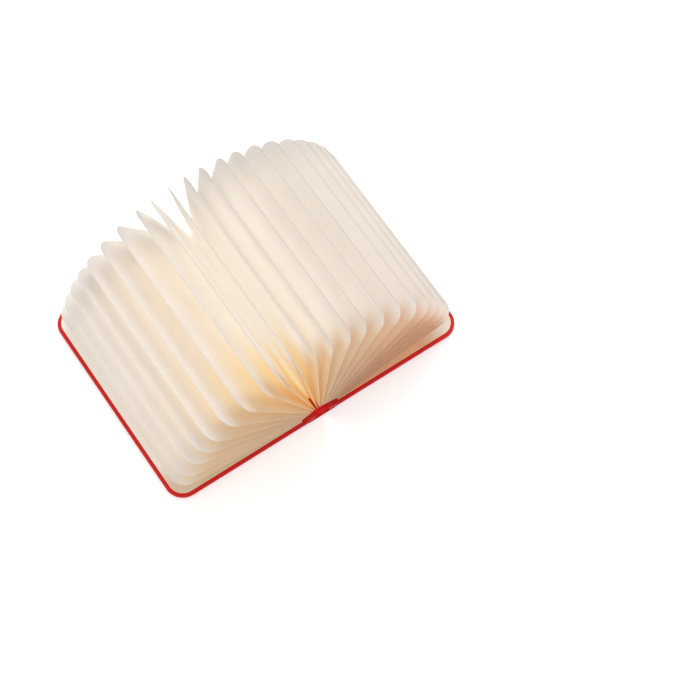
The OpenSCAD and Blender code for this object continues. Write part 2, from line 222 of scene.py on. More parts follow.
class BookLampCase(bpy.types.PropertyGroup):
    """Covers and spine."""

    edge: bpy.props.FloatProperty(
        name="Cover edge", description="Rounding of the covers' edges",
        default=0.0007, unit="LENGTH")
    corner: bpy.props.FloatProperty(
        name="Cover corner", description="Radius of the covers' outer corners",
        default=0.012, unit="LENGTH")
    margin: bpy.props.FloatProperty(
        name="Turned-in margin", description="Width of the cloth that is turned in",
        default=0.0024, unit="LENGTH")
    red: bpy.props.FloatVectorProperty(
        name="Cloth", description="Colour of the covers' cloth", subtype="COLOR", size=3,
        min=0.0, max=1.0, default=(0.68, 0.014, 0.011))
    grey: bpy.props.FloatVectorProperty(
        name="Strip", description="Colour of the strip round the spine", subtype="COLOR",
        size=3, min=0.0, max=1.0, default=(0.15, 0.15, 0.15))


class BookLampLight(bpy.types.PropertyGroup):
    """The lit spine."""

    strength: bpy.props.FloatProperty(
        name="Diffuser strength", description="How brightly the diffuser shines",
        default=0.8, min=0.0)
    warm: bpy.props.FloatVectorProperty(
        name="Light colour", description="Colour of the lit diffuser", subtype="COLOR", size=3,
        min=0.0, max=1.0, default=(1.0, 0.60, 0.22))


# Helpers for meshes


def clear_selection():
    if bpy.context.object and bpy.context.object.mode != "OBJECT":
        bpy.ops.object.mode_set(mode="OBJECT")
    bpy.ops.object.select_all(action="DESELECT")


def take(obj):
    """Makes obj the only selected and active object."""
    clear_selection()
    obj.select_set(True)
    bpy.context.view_layer.objects.active = obj


def settle(obj):
    """Puts a finished piece's place in its mesh, with its object at the origin."""
    take(obj)
    bpy.ops.object.transform_apply(location=True, rotation=True, scale=True)


def apply_modifiers(obj):
    take(obj)
    for m in list(obj.modifiers):
        bpy.ops.object.modifier_apply(modifier=m.name)


def outward(obj):
    """Merges doubles and turns the faces of a closed piece outwards."""
    take(obj)
    bpy.ops.object.mode_set(mode="EDIT")
    bpy.ops.mesh.select_all(action="SELECT")
    bpy.ops.mesh.remove_doubles(threshold=SAME)
    bpy.ops.mesh.normals_make_consistent(inside=False)
    bpy.ops.object.mode_set(mode="OBJECT")


def smooth(obj, degrees):
    take(obj)
    bpy.ops.object.shade_smooth_by_angle(angle=math.radians(degrees))


def plate(name, x0, x1, y0, y1, z0, z1):
    """A box as a starting shape, with its place in its mesh."""
    clear_selection()
    bpy.ops.mesh.primitive_cube_add(
        size=1, location=((x0 + x1) / 2, (y0 + y1) / 2, (z0 + z1) / 2))
    obj = bpy.context.object
    obj.name = obj.data.name = name
    obj.scale = (x1 - x0, y1 - y0, z1 - z0)
    settle(obj)
    return obj


def pick_edges(obj, test):
    """Selects the edges whose two end points pass the test, and stays in edit mode."""
    take(obj)
    bpy.ops.object.mode_set(mode="EDIT")
    bpy.ops.mesh.select_mode(type="EDGE")
    bpy.ops.mesh.select_all(action="DESELECT")
    bpy.ops.object.mode_set(mode="OBJECT")
    for e in obj.data.edges:
        a, b = (obj.data.vertices[i].co for i in e.vertices)
        e.select = bool(test(a, b))
    bpy.ops.object.mode_set(mode="EDIT")


def pick_faces(obj, test):
    """Selects the faces that pass the test on centre and normal, and stays in edit mode."""
    take(obj)
    bpy.ops.object.mode_set(mode="EDIT")
    bpy.ops.mesh.select_mode(type="FACE")
    bpy.ops.mesh.select_all(action="DESELECT")
    bpy.ops.object.mode_set(mode="OBJECT")
    for p in obj.data.polygons:
        p.select = bool(test(p.center, p.normal))
    bpy.ops.object.mode_set(mode="EDIT")


def mesh_piece(name, points, faces, uvs):
    """A piece from points and faces, with one UV per point."""
    mesh = bpy.data.meshes.new(name)
    mesh.from_pydata([tuple(p) for p in points], [], faces)
    layer = mesh.uv_layers.new(name="UVMap")
    for loop in mesh.loops:
        layer.data[loop.index].uv = uvs[loop.vertex_index]
    obj = bpy.data.objects.new(name, mesh)
    bpy.context.scene.collection.objects.link(obj)
    return obj


def rise(x, start, end):
    """0 up to start and 1 from end on, smooth between them. The end may be the smaller."""
    t = min(1.0, max(0.0, (x - start) / (end - start)))
    return t * t * (3 - 2 * t)


def bell(x, centre, width):
    """1 at the centre, falling to 0 on both sides of it."""
    return math.exp(-((x - centre) / width) ** 2)


def side_name(side):
    return "right" if side > 0 else "left"


# Materials


class Nodes:
    """Short calls for building a node tree from left to right."""

    def __init__(self, tree):
        self.tree = tree
        self.x = -1400

    def add(self, kind, **values):
        node = self.tree.nodes.new(kind)
        node.location = (self.x, -160 * (len(self.tree.nodes) % 5))
        self.x += 90
        for key, value in values.items():
            setattr(node, key, value)
        return node

    def link(self, a, b):
        self.tree.links.new(a, b)

    def math(self, operation, a, b=None, c=None):
        node = self.add("ShaderNodeMath", operation=operation)
        for i, v in enumerate((a, b, c)):
            if v is None:
                continue
            if isinstance(v, (int, float)):
                node.inputs[i].default_value = v
            else:
                self.link(v, node.inputs[i])
        return node.outputs[0]

    def mix(self, factor, a, b, blend="MIX"):
        node = self.add("ShaderNodeMix", data_type="RGBA", blend_type=blend)
        for socket, v in ((node.inputs[0], factor), (node.inputs[6], a), (node.inputs[7], b)):
            if isinstance(v, (int, float)):
                socket.default_value = v
            elif isinstance(v, tuple):
                socket.default_value = (*v, 1)
            else:
                self.link(v, socket)
        return node.outputs[2]

    def rise(self, value, start, end):
        """0 up to start and 1 from end on, smooth between them."""
        node = self.add("ShaderNodeMapRange", interpolation_type="SMOOTHSTEP")
        node.inputs["From Min"].default_value = start
        node.inputs["From Max"].default_value = end
        self.link(value, node.inputs["Value"])
        return node.outputs[0]

    def ramp(self, factor, stops):
        node = self.add("ShaderNodeValToRGB")
        ramp = node.color_ramp
        while len(ramp.elements) < len(stops):
            ramp.elements.new(0.5)
        for e, (at, colour) in zip(ramp.elements, stops):
            e.position = at
            e.color = (*colour, 1) if hasattr(colour, "__len__") else (colour, colour, colour, 1)
        self.link(factor, node.inputs[0])
        return node.outputs[0]


def new_group(name, inputs, outputs):
    tree = bpy.data.node_groups.new(name, "ShaderNodeTree")
    for label, kind, default in inputs:
        s = tree.interface.new_socket(name=label, in_out="INPUT", socket_type=kind)
        if default is not None:
            s.default_value = default
    for label, kind in outputs:
        tree.interface.new_socket(name=label, in_out="OUTPUT", socket_type=kind)
    n = Nodes(tree)
    return tree, n, n.add("NodeGroupInput"), n.add("NodeGroupOutput")


def woven_threads():
    """Crossing threads with slubs: a height for bump and a tone for colour."""
    if "Woven threads" in bpy.data.node_groups:
        return bpy.data.node_groups["Woven threads"]
    tree, n, gin, gout = new_group(
        "Woven threads",
        [("Vector", "NodeSocketVector", None), ("Threads", "NodeSocketFloat", 1600.0),
         ("Slubs", "NodeSocketFloat", 0.35)],
        [("Height", "NodeSocketFloat"), ("Tone", "NodeSocketFloat")])
    wobble = n.add("ShaderNodeTexNoise")
    wobble.inputs["Scale"].default_value = 260
    wobble.inputs["Detail"].default_value = 2
    n.link(gin.outputs["Vector"], wobble.inputs["Vector"])
    part = n.add("ShaderNodeSeparateXYZ")
    n.link(gin.outputs["Vector"], part.inputs[0])
    shift = n.math("MULTIPLY", wobble.outputs[0], 0.0006)
    wave = []
    for axis in (0, 1):
        moved = n.math("ADD", part.outputs[axis], shift)
        turns = n.math("MULTIPLY", moved, gin.outputs["Threads"])
        wave.append(n.math("SINE", n.math("MULTIPLY", turns, 2 * math.pi)))
    height = n.math("MULTIPLY_ADD", n.math("MULTIPLY", wave[0], wave[1]), 0.5, 0.5)
    slub = n.add("ShaderNodeTexNoise")
    slub.inputs["Scale"].default_value = 900
    slub.inputs["Detail"].default_value = 3
    n.link(gin.outputs["Vector"], slub.inputs["Vector"])
    tone = n.math("MULTIPLY_ADD", n.math("SUBTRACT", slub.outputs[0], 0.5),
                  gin.outputs["Slubs"], height)
    n.link(height, gout.inputs["Height"])
    n.link(tone, gout.inputs["Tone"])
    return tree


def paper_fibres():
    """Long felted fibres: a height for bump and a tone for colour."""
    if "Paper fibres" in bpy.data.node_groups:
        return bpy.data.node_groups["Paper fibres"]
    tree, n, gin, gout = new_group(
        "Paper fibres",
        [("Vector", "NodeSocketVector", None), ("Fineness", "NodeSocketFloat", 700.0)],
        [("Height", "NodeSocketFloat"), ("Tone", "NodeSocketFloat")])
    outs = []
    for stretch in ((1.0, 0.28, 1.0), (0.3, 1.0, 1.0)):
        m = n.add("ShaderNodeMapping")
        m.inputs["Scale"].default_value = stretch
        n.link(gin.outputs["Vector"], m.inputs["Vector"])
        t = n.add("ShaderNodeTexNoise")
        t.inputs["Detail"].default_value = 5
        t.inputs["Roughness"].default_value = 0.62
        t.inputs["Distortion"].default_value = 1.2
        n.link(gin.outputs["Fineness"], t.inputs["Scale"])
        n.link(m.outputs[0], t.inputs["Vector"])
        outs.append(t.outputs[0])
    both = n.math("MULTIPLY", n.math("ADD", outs[0], outs[1]), 0.5)
    cloud = n.add("ShaderNodeTexNoise")
    cloud.inputs["Scale"].default_value = 55
    cloud.inputs["Detail"].default_value = 4
    n.link(gin.outputs["Vector"], cloud.inputs["Vector"])
    tone = n.math("MULTIPLY_ADD", cloud.outputs[0], 0.5, n.math("MULTIPLY", both, 0.5))
    n.link(both, gout.inputs["Height"])
    n.link(tone, gout.inputs["Tone"])
    return tree


def fine_grain():
    """Speckle of a moulded or plated face: a height and a tone."""
    if "Fine grain" in bpy.data.node_groups:
        return bpy.data.node_groups["Fine grain"]
    tree, n, gin, gout = new_group(
        "Fine grain",
        [("Vector", "NodeSocketVector", None), ("Fineness", "NodeSocketFloat", 2500.0)],
        [("Height", "NodeSocketFloat"), ("Tone", "NodeSocketFloat")])
    grain = n.add("ShaderNodeTexVoronoi")
    n.link(gin.outputs["Vector"], grain.inputs["Vector"])
    n.link(gin.outputs["Fineness"], grain.inputs["Scale"])
    cloud = n.add("ShaderNodeTexNoise")
    cloud.inputs["Scale"].default_value = 140
    cloud.inputs["Detail"].default_value = 5
    n.link(gin.outputs["Vector"], cloud.inputs["Vector"])
    n.link(grain.outputs["Distance"], gout.inputs["Height"])
    n.link(cloud.outputs[0], gout.inputs["Tone"])
    return tree


def start_material(name, roughness, metallic=0.0):
    mat = bpy.data.materials.new(name)
    mat.use_nodes = True
    tree = mat.node_tree
    for node in list(tree.nodes):
        tree.nodes.remove(node)
    n = Nodes(tree)
    out = n.add("ShaderNodeOutputMaterial")
    bsdf = n.add("ShaderNodeBsdfPrincipled")
    out.location = (500, 0)
    bsdf.location = (200, 0)
    bsdf.inputs["Roughness"].default_value = roughness
    bsdf.inputs["Metallic"].default_value = metallic
    n.link(bsdf.outputs[0], out.inputs[0])
    return mat, n, bsdf


def use_group(n, tree, vector, **values):
    node = n.add("ShaderNodeGroup")
    node.node_tree = tree
    n.link(vector, node.inputs["Vector"])
    for key, value in values.items():
        node.inputs[key].default_value = value
    return node


def bump(n, bsdf, height, strength, distance):
    node = n.add("ShaderNodeBump")
    node.inputs["Strength"].default_value = strength
    node.inputs["Distance"].default_value = distance
    n.link(height, node.inputs["Height"])
    n.link(node.outputs[0], bsdf.inputs["Normal"])


def shaded(colour, k):
    return tuple(max(0.0, min(1.0, c * k)) for c in colour)


def cloth_material(name, colour, threads, sheen=0.25, contrast=0.16):
    if name in bpy.data.materials:
        return bpy.data.materials[name]
    mat, n, bsdf = start_material(name, 0.82)
    bsdf.inputs["Sheen Weight"].default_value = sheen
    bsdf.inputs["Sheen Roughness"].default_value = 0.4
    bsdf.inputs["Specular IOR Level"].default_value = 0.3
    where = n.add("ShaderNodeTexCoord")
    weave = use_group(n, woven_threads(), where.outputs["Object"], Threads=threads, Slubs=0.7)
    tint = n.ramp(weave.outputs["Tone"], [
        (0.15, shaded(colour, 1 - contrast)), (0.55, tuple(colour)),
        (0.95, shaded(colour, 1 + contrast))])
    cloud = n.add("ShaderNodeTexNoise")
    cloud.inputs["Scale"].default_value = 38
    cloud.inputs["Detail"].default_value = 4
    n.link(where.outputs["Object"], cloud.inputs["Vector"])
    worn = n.ramp(cloud.outputs[0], [(0.35, 0.93), (0.7, 1.0)])
    n.link(n.mix(1.0, tint, worn, "MULTIPLY"), bsdf.inputs["Base Color"])
    rough = n.math("MULTIPLY_ADD", weave.outputs["Tone"], 0.12, 0.74)
    n.link(rough, bsdf.inputs["Roughness"])
    bump(n, bsdf, weave.outputs["Height"], 0.35, 0.00008)
    return mat


def plain_material(name, colour, roughness, metallic=0.0, grain=2500.0, contrast=0.06,
                   depth=0.00003, coat=0.0, stretch=None, specular=0.5):
    if name in bpy.data.materials:
        return bpy.data.materials[name]
    mat, n, bsdf = start_material(name, roughness, metallic)
    bsdf.inputs["Coat Weight"].default_value = coat
    bsdf.inputs["Specular IOR Level"].default_value = specular
    where = n.add("ShaderNodeTexCoord")
    vector = where.outputs["Object"]
    if stretch:
        m = n.add("ShaderNodeMapping")
        m.inputs["Scale"].default_value = stretch
        n.link(vector, m.inputs["Vector"])
        vector = m.outputs[0]
    g = use_group(n, fine_grain(), vector, Fineness=grain)
    n.link(n.ramp(g.outputs["Tone"], [
        (0.3, shaded(colour, 1 - contrast)), (0.7, shaded(colour, 1 + contrast))]),
        bsdf.inputs["Base Color"])
    n.link(n.math("MULTIPLY_ADD", g.outputs["Tone"], 0.16, roughness - 0.08),
           bsdf.inputs["Roughness"])
    bump(n, bsdf, g.outputs["Height"], 0.25, depth)
    return mat


def board_material():
    name = "Grey board"
    if name in bpy.data.materials:
        return bpy.data.materials[name]
    mat, n, bsdf = start_material(name, 0.9)
    where = n.add("ShaderNodeTexCoord")
    f = use_group(n, paper_fibres(), where.outputs["Object"], Fineness=420.0)
    n.link(n.ramp(f.outputs["Tone"], [
        (0.3, (0.27, 0.21, 0.15)), (0.55, (0.38, 0.31, 0.22)), (0.8, (0.46, 0.39, 0.29))]),
        bsdf.inputs["Base Color"])
    bump(n, bsdf, f.outputs["Height"], 0.4, 0.00012)
    return mat


def start_paper(name, colour):
    """Felted paper, without its light. Also gives its place, fibres and colour."""
    mat, n, bsdf = start_material(name, 0.78)
    bsdf.inputs["Specular IOR Level"].default_value = 0.25
    bsdf.inputs["Emission Strength"].default_value = 1.0
    where = n.add("ShaderNodeTexCoord").outputs["Object"]
    f = use_group(n, paper_fibres(), where, Fineness=620.0)
    fibre = n.ramp(f.outputs["Tone"], [
        (0.32, shaded(colour, 0.965)), (0.5, tuple(colour)), (0.68, shaded(colour, 1.02))])
    bump(n, bsdf, f.outputs["Height"], 0.12, 0.00006)
    return mat, n, bsdf, where, f, fibre


def lit_paper(colour):
    """Paper of the pages. A piece's own attributes add the lamp light that comes through, and paint lamp light and
    shade into the paper's colour.
    """
    name = "Lit paper"
    if name in bpy.data.materials:
        return bpy.data.materials[name]
    mat, n, bsdf, _, f, fibre = start_paper(name, colour)
    # Painted lamp light and shade, multiplied into the paper's colour.
    tint = n.add("ShaderNodeAttribute", attribute_name="light_shade_tint")
    light = n.add("ShaderNodeAttribute", attribute_name="lamp_light")
    n.link(n.mix(1.0, fibre, tint.outputs["Color"], "MULTIPLY"), bsdf.inputs["Base Color"])
    cloud = n.ramp(f.outputs["Tone"], [(0.3, 0.9), (0.7, 1.0)])
    n.link(n.mix(1.0, light.outputs["Color"], cloud, "MULTIPLY"), bsdf.inputs["Emission Color"])
    return mat


def lining_material(p):
    """The paper inside the covers, with painted warm lamp light and shade in its colour near the tail, and lamp
    light added on top.
    """
    name = "Lining paper"
    if name in bpy.data.materials:
        return bpy.data.materials[name]
    mat, n, bsdf, where, _, fibre = start_paper(name, p.colour)
    part = n.add("ShaderNodeSeparateXYZ")
    n.link(where, part.inputs[0])
    # Painted warm lamp light and shade near the tail, with painted grey shade at the right lining's outer corner.
    near_tail = n.rise(part.outputs["Y"], -0.045, -0.066)
    on_right = n.math("GREATER_THAN", part.outputs["X"], 0.0)
    tan = n.mix(on_right, tuple(p.left_lining_glow_shade), tuple(p.right_lining_glow_shade))
    inside_corner = n.rise(part.outputs["X"], 0.1, 0.078)
    tan = n.mix(inside_corner, tuple(p.lining_corner_shade), tan)
    tone = n.mix(near_tail, WHITE, tan)
    n.link(n.mix(1.0, fibre, tone, "MULTIPLY"), bsdf.inputs["Base Color"])
    n.link(n.mix(1.0, tone, tuple(p.lining_light), "MULTIPLY"), bsdf.inputs["Emission Color"])
    return mat


def lit_material(name, colour, strength, roughness=0.45):
    if name in bpy.data.materials:
        return bpy.data.materials[name]
    mat, n, bsdf = start_material(name, roughness)
    bsdf.inputs["Base Color"].default_value = (*shaded(colour, 0.9), 1)
    where = n.add("ShaderNodeTexCoord")
    g = use_group(n, fine_grain(), where.outputs["Object"], Fineness=1800.0)
    n.link(n.ramp(g.outputs["Tone"], [(0.2, shaded(colour, 0.85)), (0.8, tuple(colour))]),
           bsdf.inputs["Emission Color"])
    bsdf.inputs["Emission Strength"].default_value = strength
    bump(n, bsdf, g.outputs["Height"], 0.15, 0.00003)
    return mat


def dress(obj, mat):
    obj.data.materials.clear()
    obj.data.materials.append(mat)


def dress_node(node, mat):
    obj = frame["nodes"][node]
    if not obj.material_slots:
        obj.data.materials.append(mat)
    for s in obj.material_slots:
        s.material = mat


def red_cloth():
    red = bpy.context.scene.booklamp_case.red
    return cloth_material("Red book cloth", red, threads=1500.0)


def grey_cloth():
    grey = bpy.context.scene.booklamp_case.grey
    return cloth_material("Grey strip cloth", grey, threads=1100.0, sheen=0.4, contrast=0.22)


# Pages


class Page:
    """Where one page stands: its turning line, its directions and its offset."""

    def __init__(self, number):
        hinge = HINGES["page_%02d_hinge" % number]
        ratio = RATIOS["page_%02d_hinge" % number]
        self.number = number
        self.step = abs(number - MIDDLE)
        self.side = 1 if number > MIDDLE else -1
        self.angle = math.pi / 2 * (1 - self.side * ratio)
        self.turn = Vector((hinge["pos_m"][0], 0, hinge["pos_m"][2]))
        self.along = Vector((math.cos(self.angle), 0, math.sin(self.angle)))
        self.inward = self.side * Vector((-math.sin(self.angle), 0, math.cos(self.angle)))
        self.lift = PAGE_LIFT * MM * self.step
        self.root = (PAGE_ROOT - ROOT_LESS * self.step) * MM
        self.swing = abs(math.pi / 2 * ratio)

    def point(self, s, y, off):
        """A place on the page, off its middle face towards the fan's middle."""
        return self.turn + self.along * s + self.inward * (self.lift + off) + Vector((0, y, 0))


def page_rows(root, reach, half, corner, root_corner):
    """Distances from the turning line, each with the half length of the page there."""
    rows = []
    for i in range(ROOT_PARTS + 1):
        a = math.pi / 2 * i / ROOT_PARTS
        rows.append((root + root_corner * (1 - math.cos(a)),
                     half - root_corner * (1 - math.sin(a))))
    inner, outer = root + root_corner, reach - corner
    for i in range(1, FLAT_PARTS):
        rows.append((inner + (outer - inner) * i / FLAT_PARTS, half))
    for i in range(CORNER_PARTS + 1):
        a = math.pi / 2 * i / CORNER_PARTS
        rows.append((outer + corner * math.sin(a), half - corner * (1 - math.cos(a))))
    return rows


def page_columns():
    """Shares of the half length, closer together towards the page's ends."""
    even = [i / HALF_PARTS - 1 for i in range(2 * HALF_PARTS + 1)]
    cols = [math.sin(math.pi / 2 * c) * 0.35 + 0.65 * c for c in even]
    return [-1.0, -0.99] + cols[1:-1] + [0.99, 1.0]


def between(a, b, t):
    """The colour at share t of the way from a to b."""
    return tuple(p + (q - p) * t for p, q in zip(a, b))


def tinted(colour, tint, share):
    """The colour under a share of the tint."""
    return tuple(a * b for a, b in zip(colour, between(WHITE, tint, share)))


class Shares:
    """How far a page belongs to each part of the fan, by its number."""

    def __init__(self, number):
        self.centre = bell(number, 9.5, 2.5)
        self.middle = bell(number, 9.5, 0.9)
        self.left = rise(number, 9.5, 7.5)
        self.near_left = rise(number, 8.5, 7) * rise(number, 3, 5)
        self.right = rise(number, 12, 20)
        self.far = 0.5 * max(rise(number, 3.5, 1.5), rise(number, 14, 18))


class Spot:
    """A place on a page, in millimetres from its turning line, its tail and its head.

    Also how far it lies in the lit band along the tail edge, and in the shade beside the
    next page.
    """

    def __init__(self, p, number, shares, s, y):
        self.s = s / MM
        self.tail = (p.length / 2 + y) / MM
        self.head = (p.length / 2 - y) / MM
        self.ridge = p.reach / MM
        band_end = 94 + 4 * shares.far
        band_fade = 20 - 8 * shares.far
        self.band = rise(self.tail, 18, 6) * rise(self.s, band_end, band_end - band_fade)
        shade_end = 58 + 33.5 * (1 - ((PAGES - number) / 9) ** 2)
        self.shade = rise(self.s, shade_end + 6, shade_end - 2) * rise(number, 11, 12.2)
        self.shade *= (1 - 0.8 * rise(number, 15, 19)) * rise(self.tail, 10, 30)


def lamp_light(p, number, shares, spot):
    """The lamp light that comes through a page at a spot."""
    ridge_width = 18 - 3 * rise(number, 5, 3)
    deep = rise(spot.s, spot.ridge, spot.ridge - ridge_width)
    ends = rise(min(spot.tail + 5, spot.head), 0, 30)
    ends = max(ends, shares.centre * rise(spot.s, 50, 30))
    warm_end = 75 + 30 * shares.left
    warm = rise(spot.tail, 62, 17) * rise(spot.s, warm_end, warm_end - 40)
    if number != BRIGHT or spot.s > 45:
        warm *= 1 - 0.35 * bell(number, 9.7, 0.9)

    outer_dim = 0.4 + 0.6 * rise(number, 22, 16)
    right_gain = 1 + 0.6 * rise(number, 12, 14)
    at_ridge = shaded(p.ridge_light, (1 - deep) * ends * outer_dim * right_gain)
    inside = between(between(p.deep_light, p.left_light, shares.near_left), p.tail_light, warm)
    if number == BRIGHT - 1:
        inside = shaded(inside, 1.12)
    inside = shaded(inside, deep * (0.6 + 0.4 * ends) * (1 - 0.35 * spot.shade))
    at_edge = shares.centre + 0.35 * (1 - shares.centre) * (1 - shares.right)
    at_edge *= 1 - 0.55 * shares.middle * rise(spot.s, 45, 75)
    return between([a + b for a, b in zip(at_ridge, inside)],
                   shaded(p.edge_light, at_edge), spot.band)


def light_shade_tint(p, number, shares, spot):
    """Painted light and shade in the paper's colour at a spot: warm lamp light, and the shade of the neighbouring
    pages.
    """
    # Painted warm lamp light and shade in the lit band along the tail edge.
    tint = between(WHITE, between(p.edge_glow_shade, p.outer_glow_shade, shares.right), spot.band)
    # Painted shade, a little warm, at the tail corners.
    tail_corner = 82 - 32 * shares.middle
    corner = rise(spot.tail, 15, 5) * (1 - spot.band)
    corner *= rise(spot.s, tail_corner, tail_corner + 10)
    corner *= rise(number, 5.5, 7) * rise(number, 17, 13)
    tint = tinted(tint, p.corner_shade, corner)

    # Painted shade: darker deep between the pages, towards the head ends, beside the next page and in the far
    # pages' tail band. Also darker in a thin line along the ridge and the tail edge.
    shade_between_pages = 0.07 * bell(number, 9.4, 1.4) + 0.04 * bell(number, 7, 1)
    grey = 1 - shade_between_pages * rise(spot.s, 50, 70)
    head_shade = 0.03 + 0.06 * rise(number, 14.5, 12) * rise(number, 0, 3)
    head_shade += 0.06 * rise(number, 9, 8) * rise(number, 1, 5)
    if number == BRIGHT:
        head_shade *= 1 - rise(spot.s, 75, 85)
    grey *= 1 - head_shade * (1 - rise(spot.head, 0, 26)) * rise(spot.s, 45, 60)
    grey *= 1 - 0.04 * spot.shade
    grey *= 1 - 0.07 * shares.far * spot.band * rise(spot.s, 60, 80)
    rim_line = max(rise(spot.s, spot.ridge - 2.2, spot.ridge - 0.7), rise(spot.tail, 1.2, 0.2))
    grey *= 1 - 0.14 * rim_line * (0.35 + 0.65 * rise(number, 7, 9))
    tint = shaded(tint, grey)

    # Painted warm lamp light in the paper's colour on the hot pages, deep near the tail.
    if number == BRIGHT:
        hot_tail = 78 - 0.9 * spot.s
        hot = rise(spot.tail, hot_tail, hot_tail - 16) * rise(spot.s, 48, 36)
        tint = tinted(tint, p.hot_glow, HOT_PAGES[number] * hot)
    elif number in HOT_PAGES:
        hot = rise(spot.tail, 42, 26) * rise(spot.s, 70, 58) * (1 - spot.band)
        tint = tinted(tint, p.hot_glow, HOT_PAGES[number] * hot)
    return tint


def paint_light(obj, p, number, s_of):
    """Writes the light attribute, and the attribute of painted light and shade in the colour, that the lit paper
    reads.
    """
    mesh = obj.data
    light = mesh.attributes.new("lamp_light", "FLOAT_COLOR", "POINT")
    tint = mesh.attributes.new("light_shade_tint", "FLOAT_COLOR", "POINT")
    shares = Shares(number)
    for v in mesh.vertices:
        spot = Spot(p, number, shares, s_of(v.co), v.co.y)
        light.data[v.index].color = (*lamp_light(p, number, shares, spot), 1)
        tint.data[v.index].color = (*light_shade_tint(p, number, shares, spot), 1)


def page_thickness(p, s, y, rim):
    """Thicker away from the joined rim, and thin at the tail end of the root."""
    thick = p.rim + (p.body - p.rim) * rise(rim, 0, 0.014)
    return thick * (1 - 0.5 * rise(s, 0.035, 0.02) * rise(p.length / 2 + y, 0.014, 0.006))


def build_page(page, p, mat):
    """Two thin sheets, joined round their rim, with a little slack between them."""
    rng = random.Random(PAGE_SEED + page.number)
    waves = [(rng.uniform(0.5, 1.6), rng.uniform(0.6, 2.2), rng.uniform(0, 6.28))
             for _ in range(3)]
    half = p.length / 2
    rows = page_rows(page.root, p.reach, half, p.corner, p.root_corner)
    cols = page_columns()
    points, uvs, faces = [], [], []
    for face_side in (1, -1):
        for s, h in rows:
            for c in cols:
                y = c * h
                rim = min(p.reach - s, half - abs(y), s - page.root + 0.001)
                thick = page_thickness(p, s, y, rim)
                t = (s - page.root) / (p.reach - page.root)
                wander = sum(math.sin(a * 3 * t + b * 4 * c + ph) for a, b, ph in waves)
                wander *= p.wave / 3 * rise(rim, -0.005, 0.015)
                points.append(page.point(s, y, wander + face_side * thick / 2))
                uvs.append((s / p.reach, 0.5 + y / p.length))
    nr, nc = len(rows), len(cols)
    layer = nr * nc
    for r in range(nr - 1):
        for c in range(nc - 1):
            a = r * nc + c
            faces.append((a, a + 1, a + nc + 1, a + nc))
            faces.append((layer + a, layer + a + nc, layer + a + nc + 1, layer + a + 1))
    rim = list(range(nc))
    rim += [r * nc + nc - 1 for r in range(1, nr)]
    rim += [(nr - 1) * nc + c for c in range(nc - 2, -1, -1)]
    rim += [r * nc for r in range(nr - 2, 0, -1)]
    for a, b in zip(rim, rim[1:] + rim[:1]):
        faces.append((a, layer + a, layer + b, b))
    obj = mesh_piece("page_sheets_%02d" % page.number, points, faces, uvs)
    outward(obj)
    smooth(obj, 50)
    paint_light(obj, p, page.number, lambda co: (co - page.turn).dot(page.along))
    dress(obj, mat)
    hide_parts("page_%02d" % page.number)
    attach(obj, "leaf_%02d" % page.number)


class BOOKLAMP_OT_pages(bpy.types.Operator):
    """Build the pages, each of two joined sheets"""

    bl_idname = "booklamp.pages"
    bl_label = "Pages"

    def execute(self, context):
        p = context.scene.booklamp_paper
        mat = lit_paper(p.colour)
        for number in range(1, PAGES + 1):
            build_page(Page(number), p, mat)
        return {"FINISHED"}


def fold_lines(side, step):
    """The page on a fold's inner side, and the fold's points on that page and beyond it."""
    inner = Page(MIDDLE + side * step)
    if step == 0:
        inner.side = side
        inner.inward = side * Vector((-math.sin(inner.angle), 0, math.cos(inner.angle)))

    def on_inner(s):
        return inner.point(s, 0, -FOLD_SKIN)

    if step == MIDDLE - 1:
        x0 = HINGES[side_name(side) + "_cover_hinge"]["pos_m"][0]

        def on_outer(s):
            return Vector((x0 + side * s, 0, COVER[1].z + COVER_SKIN))
    else:
        outer = Page(MIDDLE + side * (step + 1))

        def on_outer(s):
            return outer.point(s, 0, FOLD_SKIN)
    return inner, on_inner, on_outer


def bend_fold(obj, inner, on_inner, on_outer):
    """Works out the direction along a fold's sheet from its top and bottom lines, and puts the sheet's place in
    its mesh.
    """
    start, end = on_inner(FOLD_TOP), on_outer(FOLD_TOP)
    along = (start - on_inner(FOLD_BOTTOM) + end - on_outer(FOLD_BOTTOM)).normalized()
    tuple(end)
    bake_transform(obj)


def build_fold(side, step, p, mat):
    """One V-shaped sheet between two pages, or between the last page and the cover."""
    inner, on_inner, on_outer = fold_lines(side, step)
    flat = FOLD_TOP - FOLD_BOTTOM - FOLD_POINT
    steps = [flat * i / FOLD_PARTS for i in range(FOLD_PARTS + 1)]
    profile = [on_inner(FOLD_TOP - down) for down in steps]
    profile.append((on_inner(FOLD_BOTTOM) + on_outer(FOLD_BOTTOM)) / 2)
    profile += [on_outer(FOLD_BOTTOM + FOLD_POINT + up) for up in steps]
    half = p.length / 2
    tail, head = p.tail_gap - half, half - p.head_gap
    points, uvs, faces = [], [], []
    n = len(profile)
    for r in range(FOLD_ROWS):
        t = r / (FOLD_ROWS - 1)
        for i, q in enumerate(profile):
            points.append(Vector((q.x, tail + (head - tail) * t, q.z)))
            uvs.append((i / (n - 1), t))
    for r in range(FOLD_ROWS - 1):
        for i in range(n - 1):
            a = r * n + i
            faces.append((a, a + 1, a + n + 1, a + n))
    obj = mesh_piece("%s_fold_%02d" % (side_name(side), step + 1), points, faces, uvs)
    take(obj)
    m = obj.modifiers.new("Paper", "SOLIDIFY")
    m.thickness = FOLD_SHEET
    m.offset = 0
    apply_modifiers(obj)
    smooth(obj, 60)
    paint_light(obj, p, inner.number, lambda co: (co - inner.turn).dot(inner.along))
    dress(obj, mat)
    bend_fold(obj, inner, on_inner, on_outer)
    return obj


